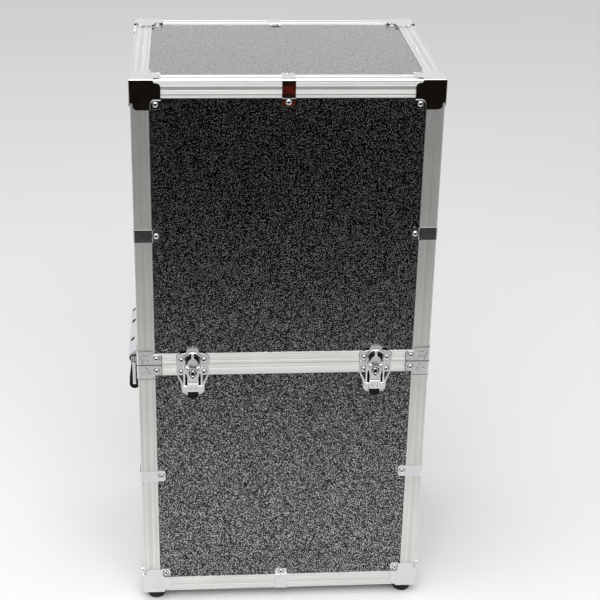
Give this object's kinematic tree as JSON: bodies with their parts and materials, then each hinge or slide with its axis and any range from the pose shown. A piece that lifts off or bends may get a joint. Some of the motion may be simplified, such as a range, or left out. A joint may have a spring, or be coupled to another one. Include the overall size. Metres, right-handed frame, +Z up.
{
  "type": "equipment rack case",
  "caption": "Tall laminate equipment case in two hinged halves with aluminium edging, ball corners, draw latches, side handles, feet and 19-inch rails inside.",
  "frame": {"origin": "centre of the overall box, on the floor plane under the feet", "axes": "+Z up, the latches face -Y, the lid hinges are at +Y, +X is to the right seen from the front"},
  "size_m": [0.571, 0.4408, 1.0452],
  "materials": {
    "laminate": "plywood faced with black crackle-pattern laminate",
    "aluminium": "satin anodised extrusion",
    "chrome": "bright chrome on pressed steel",
    "fastener": "bright nickel",
    "foot_rubber": "moulded, semi-matt",
    "grip_rubber": "moulded grip",
    "black_plastic": "gloss moulding",
    "housing": "light grey painted casting",
    "pivot_steel": "knurled, dark",
    "rail_black": "black powder coat"
  },
  "bodies": {
    "base": {"base_bottom_panel": "laminate", "base_front_panel": "laminate", "base_back_panel": "laminate", "base_left_panel": "laminate", "base_right_panel": "laminate", "base_long_edges": "aluminium", "base_side_edges": "aluminium", "base_uprights": "aluminium", "base_long_rims": "aluminium", "base_side_rims": "aluminium", "base_corners": "chrome", "base_rim_brackets": "chrome", "base_edge_clips": "chrome", "base_screws": "fastener", "base_rivets": "fastener", "feet": "foot_rubber", "foot_screws": "fastener", "latch_plates": "chrome", "latch_plate_screws": "fastener", "lever_pins": "fastener", "handle_housings": "housing", "handle_screws": "fastener", "handle_pivots": "pivot_steel", "hinge_base_leaves": "chrome", "hinge_pins": "fastener", "rack_rails": "rail_black", "rail_screws": "fastener"},
    "lid": {"lid_top_panel": "laminate", "lid_front_panel": "laminate", "lid_back_panel": "laminate", "lid_left_panel": "laminate", "lid_right_panel": "laminate", "lid_long_edges": "aluminium", "lid_side_edges": "aluminium", "lid_uprights": "aluminium", "lid_long_rims": "aluminium", "lid_side_rims": "aluminium", "lid_corners": "chrome", "lid_rim_brackets": "chrome", "lid_edge_clips": "chrome", "lid_screws": "fastener", "lid_rivets": "fastener", "latch_keepers": "chrome", "keeper_screws": "fastener", "hinge_lid_leaves": "chrome"},
    "left_lever": {"left_lever": "chrome", "left_bail_pin": "fastener", "left_thumb_tab": "black_plastic"},
    "left_bail": {"left_bail": "chrome"},
    "left_lock_plug": {"left_lock_plug": "chrome"},
    "left_handle": {"left_handle_bail": "chrome", "left_handle_grip": "grip_rubber"},
    "right_lever": {"right_lever": "chrome", "right_bail_pin": "fastener", "right_thumb_tab": "black_plastic"},
    "right_bail": {"right_bail": "chrome"},
    "right_lock_plug": {"right_lock_plug": "chrome"},
    "right_handle": {"right_handle_bail": "chrome", "right_handle_grip": "grip_rubber"}
  },
  "joints": [
    {"name": "lid_hinge", "type": "hinge", "parent": "base", "child": "lid", "pos_m": [0, 0.21595, 0.515], "axis": [-1, 0, 0], "range_deg": [0, 100]},
    {"name": "left_lever_pivot", "type": "hinge", "parent": "base", "child": "left_lever", "pos_m": [-0.166, -0.21605, 0.51], "axis": [-1, 0, 0], "range_deg": [0, 150]},
    {"name": "left_bail_pivot", "type": "hinge", "parent": "left_lever", "child": "left_bail", "pos_m": [-0.166, -0.21605, 0.4735], "axis": [-1, 0, 0], "range_deg": [-150, 0]},
    {"name": "left_lock_turn", "type": "hinge", "parent": "left_lever", "child": "left_lock_plug", "pos_m": [-0.166, -0.21805, 0.5], "axis": [0, -1, 0], "range_deg": [0, 90]},
    {"name": "left_handle_swing", "type": "hinge", "parent": "base", "child": "left_handle", "pos_m": [-0.276, -0.00055, 0.476], "axis": [0, 1, 0], "range_deg": [0, 100]},
    {"name": "right_lever_pivot", "type": "hinge", "parent": "base", "child": "right_lever", "pos_m": [0.166, -0.21605, 0.51], "axis": [-1, 0, 0], "range_deg": [0, 150]},
    {"name": "right_bail_pivot", "type": "hinge", "parent": "right_lever", "child": "right_bail", "pos_m": [0.166, -0.21605, 0.4735], "axis": [-1, 0, 0], "range_deg": [-150, 0]},
    {"name": "right_lock_turn", "type": "hinge", "parent": "right_lever", "child": "right_lock_plug", "pos_m": [0.166, -0.21805, 0.5], "axis": [0, -1, 0], "range_deg": [0, 90]},
    {"name": "right_handle_swing", "type": "hinge", "parent": "base", "child": "right_handle", "pos_m": [0.276, -0.00055, 0.476], "axis": [0, -1, 0], "range_deg": [0, 100]}
  ],
  "couplings": [
    {"joint": "left_bail_pivot", "follows": "left_lever_pivot", "ratio": -1},
    {"joint": "right_bail_pivot", "follows": "right_lever_pivot", "ratio": -1}
  ]
}
